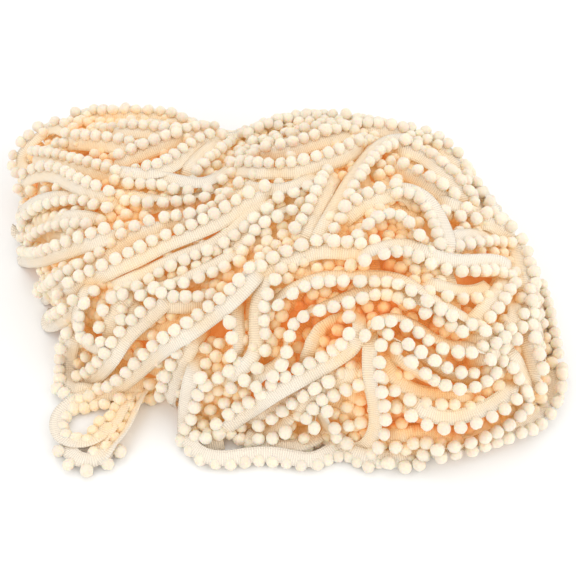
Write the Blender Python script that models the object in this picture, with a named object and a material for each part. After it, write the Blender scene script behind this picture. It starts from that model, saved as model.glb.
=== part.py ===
"""A loose heap of pompom fringe trim: a ribbed tape with a row of yarn pompoms along one edge, piled up.

Lengths below are millimetres. The objects are made in metres, +Z up, the heap resting on Z = 0.
"""

import math

import bmesh
import bpy
import numpy as np

MM = 0.001

# The trim
TAPE_WIDTH = 9.6
TAPE_THICK = 1.2
EDGE_GAP = 1.4
STRIP_WIDTH = 1.3
POMPOM_RADIUS = 4.9
POMPOM_RING = 3.1
POMPOM_NECK = 5.1
PITCH = 11.3
POMPOM_OFF = TAPE_WIDTH / 2 + EDGE_GAP + POMPOM_RADIUS

# The heap is drawn as seen from in front, along a line that comes down at this angle from this far off.
SIGHT_RISE = math.radians(48)
SIGHT_REACH = 800.0
HEAP_CENTRE = (-16.72, 6.08)

# Outer form of the heap: where it starts and ends front to back, and its height, across its width
FORM_COLUMNS = ("x", "front", "back", "height")
FORM = (
    (-238, 78, 140, 34),
    (-230, 20, 166, 52),
    (-215, -2, 184, 66),
    (-196, -36, 196, 76),
    (-174, -88, 195, 84),
    (-138, -116, 197, 90),
    (-100, -124, 192, 94),
    (-75, -146, 185, 97),
    (-40, -149, 176, 104),
    (0, -152, 172, 112),
    (42, -162, 172, 116),
    (80, -167, 164, 116),
    (115, -165, 152, 110),
    (142, -163, 126, 98),
    (165, -152, 96, 82),
    (184, -139, 62, 66),
    (198, -120, 10, 46),
    (204, -100, -36, 30),
)
FORM_POWER = 2.6
FORM_ROOT = 0.62
CORE_INSET = 10.0
CORE_SECTIONS = 50
CORE_POINTS = 38
TWIST_HEIGHT = 7.5
TWIST_REACH = 11.0

# Laying of one run over what is under it
CLEARANCE = 1.2
TILT = math.radians(14)
REST = 0.1

# Runs of trim that lie on the skin of the heap, the lowest first. Their places are seen from in front
# ("front", across and up the sight plane), or from straight above ("plan"). The side is the one with
# the pompoms, going from the first place to the last.
RUN_COLUMNS = ("name", "seen", "side", "tilt", "places")
RUNS = (
    ("skyline_left", "front", "L", 0, ((-168, 128), (-136, 132), (-108, 130), (-90, 124))),
    ("crown_left", "front", "L", 0, ((-205, 103), (-175, 97), (-147, 89), (-130, 83))),
    ("shoulder_left", "front", "L", 0, ((-206, 76), (-190, 86), (-170, 79), (-149, 71))),
    ("wide_face_left", "front", "L", 0, ((-208, 21), (-190, 24), (-165, 33), (-142, 41))),
    ("crown_dip", "front", "R", 0, ((-112, 91), (-90, 86), (-66, 84), (-44, 97))),
    ("saddle", "front", "R", 0, ((-80, 95), (-50, 118), (-20, 127), (2, 130))),
    ("summit_face", "front", "L", 0, ((-40, 93), (0, 92), (30, 99), (54, 110))),
    ("summit_arc", "front", "R", 0, ((26, 42), (44, 76), (62, 102), (84, 117))),
    ("summit_right", "front", "R", 0, ((88, 84), (106, 76), (119, 62), (127, 40))),
    ("skyline_right", "front", "L", 0, ((84, 112), (104, 110), (120, 102), (132, 88))),
    ("long_lower", "front", "R", 0, ((-138, 1), (-90, 25), (-48, 45), (-18, 66))),
    ("long_upper", "front", "L", 0, ((-190, -2), (-150, 22), (-110, 47), (-71, 57), (-38, 78))),
    ("middle_upper", "front", "L", 0, ((-28, 2), (8, 24), (40, 29), (62, 28))),
    ("right_upper", "front", "R", 0, ((72, 32), (98, 36), (125, 24), (170, 21))),
    ("right_rim", "front", "L", 0, ((193, 2), (201, -27), (205, -57), (202, -84))),
    ("middle_lower", "front", "R", 0, ((-6, -8), (33, 10), (84, 8), (114, -10))),
    ("brow_right", "front", "R", 0, ((70, -26), (92, -25), (118, -42), (152, -49))),
    ("drop_left", "front", "L", 0, ((-18, 2), (-26, -26), (-34, -58), (-46, -74))),
    ("slope_left", "front", "R", 0, ((-104, -16), (-128, -39), (-146, -62), (-164, -80))),
    ("ridge_left", "front", "L", 0, ((-140, -82), (-98, -49), (-56, -20), (-34, 0))),
    ("sweep_front", "front", "L", 0, ((-58, -112), (-25, -92), (20, -68), (52, -44))),
    ("drop_right", "front", "L", 0, ((66, -50), (66, -74), (69, -98), (66, -118))),
    ("sweep_right", "front", "L", 0, ((117, -124), (160, -110), (184, -94), (186, -66))),
    ("back_low", "plan", "R", 0, ((-206, 120), (-186, 156), (-140, 174), (-96, 170))),
    ("back_high", "plan", "L", 0, ((-150, 140), (-90, 136), (-30, 122), (20, 124))),
    ("back_middle", "plan", "R", 0, ((-60, 160), (-10, 150), (44, 152), (92, 138))),
    ("back_right", "plan", "R", 0, ((128, 106), (154, 76), (172, 36), (182, -8))),
)

# Runs on the floor in front: the tape stands on its edge or lies flat, clear of the heap
FLOOR_COLUMNS = ("name", "side", "lean", "places")
FLOOR_RUNS = (
    ("floor_loop", "R", 58, ((-153, -108), (-162, -132), (-148, -156), (-126, -152), (-106, -130))),
    ("floor_strand", "R", 35, ((-68, -156), (-38, -158), (-6, -160), (24, -170))),
)

# Main twists raised on the heap between those runs
TWIST_COLUMNS = ("seen", "places")
TWISTS = (
    ("front", ((-178, 116), (-150, 114), (-120, 108))),
    ("front", ((-180, 128), (-160, 128), (-100, 120))),
    ("front", ((-134, 98), (-106, 109), (-62, 121))),
    ("front", ((-116, 90), (-89, 99), (-57, 110))),
    ("front", ((-175, -4), (-130, 18), (-85, 39), (-42, 60))),
    ("front", ((-206, 60), (-176, 70), (-140, 66), (-82, 72), (-58, 78))),
    ("front", ((-203, 44), (-180, 52), (-155, 52))),
    ("front", ((-36, 78), (-8, 76), (24, 88))),
    ("front", ((-44, 28), (-30, 48), (2, 62))),
    ("front", ((13, 40), (26, 66), (38, 88))),
    ("front", ((-16, 106), (15, 112), (50, 118))),
    ("front", ((92, 106), (114, 96), (134, 76))),
    ("front", ((50, 58), (78, 70), (98, 68))),
    ("front", ((53, 44), (78, 56), (104, 40))),
    ("front", ((136, 66), (150, 58), (164, 52))),
    ("front", ((133, 40), (157, 41), (176, 36))),
    ("front", ((160, 50), (179, 36), (186, 4))),
    ("front", ((-126, -7), (-140, -21), (-143, -43))),
    ("front", ((-118, -2), (-79, 10), (-45, 27))),
    ("front", ((-103, -13), (-80, -15), (-57, -12))),
    ("front", ((-78, -47), (-90, -69), (-97, -91))),
    ("front", ((-172, -30), (-178, -56), (-174, -72))),
    ("front", ((-66, -82), (-41, -69), (-31, -61))),
    ("front", ((-41, -18), (-40, -44), (-42, -58))),
    ("front", ((-20, -70), (-2, -50), (13, -20), (57, -3), (96, -3))),
    ("front", ((108, -12), (134, -27), (158, -29))),
    ("front", ((-30, -106), (7, -82), (34, -66))),
    ("front", ((56, -67), (23, -82), (5, -101))),
    ("front", ((26, -99), (38, -118))),
    ("front", ((-84, -72), (-86, -100), (-78, -116))),
    ("front", ((-46, -116), (-18, -114), (4, -104))),
    ("front", ((117, 3), (142, -3), (161, 2))),
    ("front", ((84, -42), (113, -60), (147, -73))),
    ("front", ((86, -56), (118, -77), (154, -78), (172, -64))),
    ("front", ((76, -60), (91, -80), (117, -88), (144, -86))),
    ("front", ((84, -116), (108, -112), (133, -114))),
    ("front", ((105, -97), (135, -102), (168, -90))),
    ("front", ((188, 2), (187, -25), (192, -50))),
    ("front", ((150, -42), (173, -38), (182, -15))),
    ("front", ((43, -27), (25, -35), (15, -58))),
    ("plan", ((-214, 96), (-196, 142), (-150, 168), (-100, 166))),
    ("plan", ((-130, 182), (-70, 172), (-20, 166), (30, 166))),
    ("plan", ((-100, 152), (-60, 142), (-10, 136), (40, 134))),
    ("plan", ((20, 160), (70, 156), (116, 138), (140, 118))),
    ("plan", ((60, 120), (110, 104), (140, 70))),
    ("plan", ((150, 106), (170, 70), (186, 20))),
    ("plan", ((-226, 60), (-222, 100), (-206, 150))),
    ("front", ((84, -132), (112, -130), (150, -120), (196, -96))),
    ("front", ((-20, -130), (12, -131), (44, -128))),
    ("front", ((-186, -42), (-186, -60), (-174, -76), (-148, -88), (-116, -94))),
    ("front", ((-196, 4), (-204, 20), (-212, 50), (-212, 84))),
    ("plan", ((-140, 190), (-100, 185), (-60, 178))),
    ("plan", ((-10, 170), (40, 168), (90, 158), (124, 144))),
    ("plan", ((148, 118), (168, 88), (184, 54), (192, 10))),
)

# The whole heap in one grid of directions from a point below it, where the height laid so far is kept
HUB = np.array((-15.0, 20.0, -90.0))
HUB_SPAN = 1.56
HUB_STEP = 0.008
HUB_CELLS = int(2 * HUB_SPAN / HUB_STEP) + 1

CREAM_TAPE = (0.93, 0.80, 0.60, 1)
CREAM_POMPOM = (0.95, 0.84, 0.67, 1)
CREAM_HEAP = (0.90, 0.75, 0.54, 1)


def unit(rows):
    return rows / np.maximum(np.linalg.norm(rows, axis=-1, keepdims=True), 1e-9)


def spline(places, steps=24):
    """A smooth curve through the places."""
    ends = np.array(places, float)
    whole = np.vstack((2 * ends[0] - ends[1], ends, 2 * ends[-1] - ends[-2]))
    out = []
    for i in range(1, len(whole) - 2):
        a, b, c, d = whole[i - 1 : i + 3]
        for t in np.arange(steps) / steps:
            part = 2 * b + (c - a) * t + (2 * a - 5 * b + 4 * c - d) * t**2
            out.append((part + (3 * b - a - 3 * c + d) * t**3) / 2)
    out.append(ends[-1])
    return np.array(out)


def evened(path, spacing):
    """The same path with points an even distance apart."""
    along = np.concatenate(([0], np.cumsum(np.linalg.norm(np.diff(path, axis=0), axis=1))))
    count = max(2, int(round(along[-1] / spacing)))
    marks = np.linspace(0, along[-1], count + 1)
    return np.stack([np.interp(marks, along, path[:, k]) for k in range(path.shape[1])], axis=1)


def softened(rows, passes):
    rows = rows.copy()
    for _ in range(passes):
        rows[1:-1] = rows[1:-1] * 0.5 + (rows[:-2] + rows[2:]) * 0.25
    return rows


def form_height(x, y, inset):
    """Height of the heap's outer form over a place on the floor."""
    table = np.array(FORM, float)
    at = table[:, 0] * (1 - inset / 230)
    front = np.interp(x, at, table[:, 1] + inset)
    back = np.interp(x, at, table[:, 2] - inset)
    top = np.interp(x, at, table[:, 3] - inset)
    middle = (front + back) / 2
    half = np.maximum((back - front) / 2, 1)
    across = np.abs(y - middle) / half
    height = top * np.clip(1 - across**FORM_POWER, 0, 1) ** FORM_ROOT
    return np.where((x < at[0]) | (x > at[-1]) | (across > 1), 0, height)


def distance_to(path, points):
    """Distance of each point from a path."""
    near = np.full(points.shape[:-1], 1e9)
    for start, end in zip(path[:-1], path[1:]):
        step = end - start
        t = np.clip((points - start) @ step / (step @ step), 0, 1)
        near = np.minimum(near, np.linalg.norm(points - start - t[..., None] * step, axis=-1))
    return near


def twist_paths():
    """The twists' lines over the heap."""
    paths = []
    for seen, places in TWISTS:
        path = spline(places, 4)
        if seen == "front":
            path = np.array([seen_from_front(across, up, CORE_INSET) for across, up in path])
        else:
            path = np.column_stack((path, form_height(path[:, 0], path[:, 1], CORE_INSET)))
        paths.append(path)
    return paths


def surface_normal(x, y, inset):
    step = 3.0
    rise_x = (form_height(x + step, y, inset) - form_height(x - step, y, inset)) / (2 * step)
    rise_y = (form_height(x, y + step, inset) - form_height(x, y - step, inset)) / (2 * step)
    rise = np.hypot(rise_x, rise_y)
    most = 2.2
    cut = np.where(rise > most, most / np.maximum(rise, 1e-6), 1)
    return unit(np.stack((-rise_x * cut, -rise_y * cut, np.ones(np.shape(x))), axis=-1))


def seen_from_front(across, up, inset):
    """The place on the heap's form that shows at this place of the sight plane."""
    s, c = math.sin(SIGHT_RISE), math.cos(SIGHT_RISE)
    eye = np.array((0, -SIGHT_REACH * c, SIGHT_REACH * s))
    aim = np.array((across, up * s, up * c)) - eye
    t = np.linspace(0.7, 1.35, 1301)
    points = eye + t[:, None] * aim
    over = points[:, 2] - form_height(points[:, 0], points[:, 1], inset)
    under = np.nonzero(over < 0)[0]
    first = under[0] if len(under) else len(t) - 1
    if points[first, 2] < 1 and points[first, 1] > 60:
        first = int(np.argmin(over[:first] + (points[:first, 2] < 6) * 1e3))
        points[first, 2] -= over[first]
    return points[first]


def hub_place(points):
    """Grid place and distance from the hub."""
    away = points - HUB
    reach = np.linalg.norm(away, axis=-1)
    scale = 2 / (reach + away[..., 2])
    column = (away[..., 0] * scale + HUB_SPAN) / HUB_STEP
    row = (away[..., 1] * scale + HUB_SPAN) / HUB_STEP
    column = np.clip(np.round(column), 1, HUB_CELLS - 2).astype(int)
    row = np.clip(np.round(row), 1, HUB_CELLS - 2).astype(int)
    return row, column, reach


def hub_directions():
    marks = np.linspace(-HUB_SPAN, HUB_SPAN, HUB_CELLS)
    p, q = np.meshgrid(marks, marks)
    flat = p**2 + q**2
    return np.stack((4 * p, 4 * q, 4 - flat), axis=-1) / (4 + flat)[..., None]


DIRECTIONS = hub_directions()


def core_reach(grid, fine=6):
    """How far the core's faces reach in each direction."""
    reached = np.full(DIRECTIONS.shape[:2], 60.0)
    marks = (np.arange(fine) + 0.5) / fine
    a, b, c, d = grid[:-1, :-1], grid[1:, :-1], grid[1:, 1:], grid[:-1, 1:]
    for s in marks:
        for t in marks:
            one = a + (b - a) * s + (c - b) * t if s > t else a + (d - a) * t + (c - d) * s
            two = a + (b - a) * s + (d - a) * t if s + t < 1 else c + (d - c) * (1 - s) + (b - c) * (1 - t)
            for points in (one, two):
                row, column, reach = hub_place(points)
                np.maximum.at(reached, (row, column), reach)
    return widened(reached)


def widened(grid):
    out = grid.copy()
    for rows, columns in ((1, 0), (-1, 0), (0, 1), (0, -1), (1, 1), (-1, -1), (1, -1), (-1, 1)):
        out = np.maximum(out, np.roll(grid, (rows, columns), axis=(0, 1)))
    return out


def ball_window(centre, radius):
    """Grid window under a ball, with where each direction enters and leaves it."""
    row, column, reach = hub_place(centre)
    cells = int(radius / reach * 1.8 / HUB_STEP) + 3
    rows = slice(max(row - cells, 0), row + cells + 1)
    columns = slice(max(column - cells, 0), column + cells + 1)
    away = centre - HUB
    along = DIRECTIONS[rows, columns] @ away
    inside = radius**2 - (away @ away - along**2)
    half = np.sqrt(np.clip(inside, 0, None))
    return rows, columns, inside > 0, along - half, along + half


class Frames:
    """Where a run lies: points along it, its direction, its width direction and its face."""

    def __init__(self, path, normals, side, tilt):
        self.path = path
        self.along = unit(np.gradient(path, axis=0))
        face = normals - (normals * self.along).sum(1)[:, None] * self.along
        self.face = unit(face)
        self.wide = np.cross(self.face, self.along) * (1 if side == "L" else -1)
        turn = np.radians(tilt) + TILT
        wide = self.wide * math.cos(turn) + self.face * math.sin(turn)
        self.face = self.face * math.cos(turn) - self.wide * math.sin(turn)
        self.wide = wide

    def at(self, place, wide=0.0, face=0.0, shift=0.0):
        index = min(max(place, 0), len(self.path) - 1)
        low = int(index)
        high = min(low + 1, len(self.path) - 1)
        part = index - low
        here = self.path[low] + self.wide[low] * wide + self.face[low] * face + self.along[low] * shift
        there = self.path[high] + self.wide[high] * wide + self.face[high] * face + self.along[high] * shift
        return here * (1 - part) + there * part


def tape_samples(frames, fine=4):
    """Points over the tape's underside, with the place along the run that each belongs to."""
    places = np.linspace(0, len(frames.path) - 1, (len(frames.path) - 1) * fine + 1)
    across = np.linspace(-TAPE_WIDTH / 2, TAPE_WIDTH / 2 + EDGE_GAP + STRIP_WIDTH, 9)
    points = np.array([[frames.at(place, wide) for wide in across] for place in places])
    return places, points


def laid(frames, reached):
    """Lifts a run off what is under it, as a taut soft band."""
    count = len(frames.path)
    need = np.full(count, -6.0)
    lift = frames.lift
    places, points = tape_samples(frames)
    row, column, reach = hub_place(points)
    short = reached[row, column] + CLEARANCE + TAPE_THICK / 2 - reach
    up = unit(points - HUB)
    slope = np.maximum((up * lift[np.round(places).astype(int)][:, None]).sum(-1), 0.35)
    short = (short / slope).max(axis=1)
    for place, value in zip(places, short):
        for index in {int(math.floor(place)), int(math.ceil(place))}:
            need[index] = max(need[index], value)
    for place in range(count - 1):
        centre = frames.at(place + 0.5, POMPOM_OFF)
        rows, columns, inside, enters, _ = ball_window(centre, POMPOM_RADIUS + 0.4)
        short = np.where(inside, reached[rows, columns] + CLEARANCE - enters, -6).max()
        tilt = max(unit(centre - HUB) @ lift[place], 0.35)
        for index in (place, place + 1):
            need[index] = max(need[index], short / tilt)
    rise = need.copy()
    for _ in range(80):
        mean = np.concatenate(([rise[1]], (rise[:-2] + rise[2:]) / 2, [rise[-2]]))
        rise = np.maximum(need, np.maximum(rise, mean - 0.35) * 0.5 + mean * 0.5 - 0.1)
    frames.path = frames.path + lift * rise[:, None]
    foot = np.array([lowest(frames, place) for place in range(count)])
    frames.path[:, 2] += np.maximum(REST - foot, 0)


def lowest(frames, place):
    """The lowest point of the trim at one place of the run."""
    corners = [
        frames.at(place, wide, face)
        for wide in (-TAPE_WIDTH / 2, TAPE_WIDTH / 2)
        for face in (-TAPE_THICK / 2, TAPE_THICK / 2)
    ]
    ball = frames.at(place, POMPOM_OFF)[2] - POMPOM_RADIUS
    return min(min(corner[2] for corner in corners), ball)


def mark_laid(frames, reached):
    """Raises the grid to the outside of a run that now lies there."""
    fresh = np.zeros(reached.shape)
    places, points = tape_samples(frames, 10)
    row, column, reach = hub_place(points)
    np.maximum.at(fresh, (row, column), reach + TAPE_THICK / 2)
    for place in range(len(frames.path) - 1):
        centre = frames.at(place + 0.5, POMPOM_OFF)
        rows, columns, inside, _, leaves = ball_window(centre, POMPOM_RADIUS + 0.4)
        fresh[rows, columns] = np.maximum(fresh[rows, columns], np.where(inside, leaves, 0))
    return np.maximum(reached, widened(fresh))


def run_frames(seen, side, tilt, places):
    """The run on the heap's form, before it is laid over the others."""
    curve = spline(places)
    if seen == "front":
        path = np.array([seen_from_front(across, up, 6.0) for across, up in curve])
    else:
        path = np.column_stack((curve, form_height(curve[:, 0], curve[:, 1], 6.0)))
    path = evened(softened(evened(path, 3.0), 8), PITCH)
    path = evened(path, PITCH)
    normals = softened(surface_normal(path[:, 0], path[:, 1], 6.0), 2)
    frames = Frames(path, unit(normals), side, tilt)
    frames.lift = unit(normals)
    return frames


def floor_frames(side, lean, places):
    """A run on the floor, leaning on the edge of its tape."""
    curve = evened(spline(places), PITCH)
    path = np.column_stack((curve, np.zeros(len(curve))))
    up = np.tile((0.0, 0.0, 1.0), (len(path), 1))
    frames = Frames(path, up, side, -lean - math.degrees(TILT))
    frames.lift = up
    foot = min(lowest(frames, place) for place in range(len(path)))
    for place in np.arange(0.5, len(path) - 1):
        foot = min(foot, frames.at(place, POMPOM_OFF)[2] - POMPOM_RADIUS)
    frames.path[:, 2] += REST - foot
    return frames


def ring(centre, wide, face, half_wide, half_face, turned=False):
    corners = ((-1, -1), (1, -1), (1, 1), (-1, 1))
    if turned:
        corners = tuple((a * math.sqrt(2), b * math.sqrt(2)) for a, b in ((-1, 0), (0, -1), (1, 0), (0, 1)))
    return [centre + wide * half_wide * a + face * half_face * b for a, b in corners]


def tape_rings(frames):
    rings = []
    for place in range(len(frames.path)):
        centre = frames.path[place]
        rings.append(ring(centre, frames.wide[place], frames.face[place], TAPE_WIDTH / 2, TAPE_THICK / 2))
    return rings


def pompom_rings(frames):
    """A narrow strip along the tape's edge, swelling into a pompom at every pitch."""
    rings = []
    corner = POMPOM_RADIUS * math.sqrt(0.5) * 0.98
    strip_off = TAPE_WIDTH / 2 + EDGE_GAP + STRIP_WIDTH / 2
    for place in range(len(frames.path) - 1):
        middle = place + 0.5
        wide = unit(frames.wide[place] + frames.wide[place + 1])
        face = unit(frames.face[place] + frames.face[place + 1])
        for shift in (-POMPOM_NECK, -POMPOM_RING, 0, POMPOM_RING, POMPOM_NECK):
            if abs(shift) == POMPOM_NECK:
                centre = frames.at(middle + shift / PITCH, strip_off)
                rings.append(ring(centre, wide, face, STRIP_WIDTH / 2, STRIP_WIDTH / 2))
            else:
                centre = frames.at(middle, POMPOM_OFF, 0, shift)
                half = corner * (0.8 if shift else 1)
                rings.append(ring(centre, wide, face, half, half, shift == 0))
    return rings


def swept(name, rings, material, collection):
    """One closed body through four-sided rings."""
    body = bmesh.new()
    rows = [[body.verts.new(point * MM) for point in points] for points in rings]
    for first, second in zip(rows[:-1], rows[1:]):
        for k in range(4):
            body.faces.new((first[k], first[(k + 1) % 4], second[(k + 1) % 4], second[k]))
    body.faces.new(rows[0][::-1])
    body.faces.new(rows[-1])
    bmesh.ops.recalc_face_normals(body, faces=body.faces)
    return finished(name, body, material, collection)


def finished(name, body, material, collection):
    bmesh.ops.triangulate(body, faces=body.faces)
    mesh = bpy.data.meshes.new(name)
    body.to_mesh(mesh)
    body.free()
    mesh.materials.append(material)
    thing = bpy.data.objects.new(name, mesh)
    collection.objects.link(thing)
    return thing


def core_grid():
    """The heap's upper faces, section by section across its width, each from front to back."""
    table = np.array(FORM, float)
    paths = twist_paths()
    at = table[:, 0] * (1 - CORE_INSET / 230)
    turn = np.linspace(-1, 1, CORE_SECTIONS) * math.pi / 2
    spread = 0.35 * np.sin(turn) + 0.65 * turn / (math.pi / 2)
    rows = []
    for x in (at[0] + at[-1]) / 2 + (at[-1] - at[0]) / 2 * spread * 0.9995:
        front = np.interp(x, at, table[:, 1] + CORE_INSET)
        back = np.interp(x, at, table[:, 2] - CORE_INSET)
        turn = np.linspace(-1, 1, CORE_POINTS) * math.pi / 2
        spread = 0.5 * np.sin(turn) + 0.5 * turn / (math.pi / 2)
        y = (front + back) / 2 + (back - front) / 2 * spread
        rows.append(np.column_stack((np.full(len(y), x), y, form_height(np.full(len(y), x), y, CORE_INSET))))
    grid = np.array(rows)
    near = np.min([distance_to(path, grid) for path in paths], axis=0) / TWIST_REACH
    raised = TWIST_HEIGHT * np.clip(1 - near**2, 0, 1)
    grid += surface_normal(grid[..., 0], grid[..., 1], CORE_INSET) * raised[..., None]
    grid[:, (0, -1), 2] = 0
    return grid


def core_body(grid, material, collection):
    """The heap itself: sections side by side, flat underneath."""
    body = bmesh.new()
    shift = np.array((*HEAP_CENTRE, 0))
    tops = [[body.verts.new((point - shift) * MM) for point in row] for row in grid]
    for first, second in zip(tops[:-1], tops[1:]):
        for k in range(CORE_POINTS - 1):
            body.faces.new((first[k], first[k + 1], second[k + 1], second[k]))
        body.faces.new((first[-1], first[0], second[0], second[-1]))
    body.faces.new(tops[0][::-1])
    body.faces.new(tops[-1])
    bmesh.ops.recalc_face_normals(body, faces=body.faces)
    return finished("heap_core", body, material, collection)


def cream(name, colour):
    material = bpy.data.materials.new(name)
    material.use_nodes = True
    shader = material.node_tree.nodes["Principled BSDF"]
    shader.inputs["Base Color"].default_value = colour
    shader.inputs["Roughness"].default_value = 0.9
    material.diffuse_color = colour
    return material


def build():
    for thing in list(bpy.data.objects):
        bpy.data.objects.remove(thing, do_unlink=True)
    collection = bpy.data.collections.new("pompom_trim_heap")
    bpy.context.scene.collection.children.link(collection)
    grid = core_grid()
    core_body(grid, cream("heap_core", CREAM_HEAP), collection)
    runs = [(name, floor_frames(side, lean, places)) for name, side, lean, places in FLOOR_RUNS]
    reached = core_reach(grid)
    for _, frames in runs:
        reached = mark_laid(frames, reached)
    for name, seen, side, tilt, places in RUNS:
        frames = run_frames(seen, side, tilt, places)
        laid(frames, reached)
        reached = mark_laid(frames, reached)
        runs.append((name, frames))
    for name, frames in runs:
        frames.path = frames.path - np.array((*HEAP_CENTRE, 0))
        tape = cream("tape_" + name, CREAM_TAPE)
        pompoms = cream("pompoms_" + name, CREAM_POMPOM)
        swept("tape_" + name, tape_rings(frames), tape, collection)
        swept("pompoms_" + name, pompom_rings(frames), pompoms, collection)


build()
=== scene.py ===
import math
import random

import bpy
import numpy as np
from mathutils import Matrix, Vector, kdtree


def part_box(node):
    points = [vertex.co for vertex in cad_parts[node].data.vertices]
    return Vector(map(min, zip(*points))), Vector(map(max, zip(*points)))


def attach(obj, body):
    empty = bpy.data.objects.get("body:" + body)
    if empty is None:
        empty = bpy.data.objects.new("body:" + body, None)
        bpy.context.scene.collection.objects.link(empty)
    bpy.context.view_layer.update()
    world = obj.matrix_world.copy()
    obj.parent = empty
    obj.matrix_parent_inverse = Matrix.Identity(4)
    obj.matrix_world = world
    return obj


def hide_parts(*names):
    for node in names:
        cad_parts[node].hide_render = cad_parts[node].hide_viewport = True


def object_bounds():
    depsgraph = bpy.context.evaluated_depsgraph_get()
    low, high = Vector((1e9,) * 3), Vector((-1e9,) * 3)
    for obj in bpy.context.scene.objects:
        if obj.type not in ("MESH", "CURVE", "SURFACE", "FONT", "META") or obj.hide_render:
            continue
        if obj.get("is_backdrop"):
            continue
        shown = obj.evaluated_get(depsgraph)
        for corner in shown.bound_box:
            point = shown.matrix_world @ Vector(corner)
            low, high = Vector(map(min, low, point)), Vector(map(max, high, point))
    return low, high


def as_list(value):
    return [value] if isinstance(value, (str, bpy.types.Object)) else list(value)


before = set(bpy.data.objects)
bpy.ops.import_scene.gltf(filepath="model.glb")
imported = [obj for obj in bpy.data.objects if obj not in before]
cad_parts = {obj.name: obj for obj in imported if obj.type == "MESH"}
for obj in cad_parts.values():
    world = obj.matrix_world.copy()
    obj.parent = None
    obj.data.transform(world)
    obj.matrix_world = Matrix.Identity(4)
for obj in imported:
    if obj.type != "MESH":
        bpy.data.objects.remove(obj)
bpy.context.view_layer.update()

random.seed(7)
RNG = np.random.default_rng(11)

# Sizes, in millimetres
MM = 0.001
TAPE_WIDTH = 10.4
TAPE_THICK = 0.7
POMPOM_RADIUS = 4.6
PITCH = 9.9
STEPS_PER_PITCH = 4
STATION = PITCH / STEPS_PER_PITCH
POMPOM_OFF = TAPE_WIDTH / 2 + 2.3
POMPOM_FORWARD = 0.9
TUCK_DOWN = 0.8
RIB_PITCH = 1.6
FLOOR_GAP = 0.3
MESH_FLOOR = 0.05
CURVE_STEP = 2.0

SIGHT_RISE = 48.0
SIGHT_REACH = 800.0
SIGHT_WIDTH = 460.8
SENSOR_WIDTH = 36.0
HEAP_CENTRE = np.array((-16.72, 6.08, 0.0))

# The heap's outer form, close to the solids' own: x, front, back, height
FORM = np.array(
    (
        (-247, 104, 142, 26),
        (-238, 70, 158, 43),
        (-230, 22, 166, 53),
        (-215, -2, 184, 66),
        (-196, -36, 196, 76),
        (-174, -88, 195, 84),
        (-138, -116, 197, 90),
        (-100, -124, 192, 94),
        (-75, -146, 182, 95),
        (-46, -149, 160, 96),
        (-25, -150, 170, 106),
        (0, -152, 172, 112),
        (42, -162, 172, 116),
        (80, -167, 164, 116),
        (115, -165, 152, 110),
        (142, -163, 126, 98),
        (165, -152, 96, 82),
        (184, -139, 62, 66),
        (198, -120, 10, 46),
        (204, -100, -36, 30),
    ),
    float,
)
FORM_POWER = 2.6
FORM_ROOT = 0.62
FORM_REACH = 230.0

# How deep a run of each level starts under the form
LEVEL_INSET = {0: 18, 1: 16, 2: 14.5, 3: 12, 4: 9.5, 5: 7}
LIFT_MOST = 10.0

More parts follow.
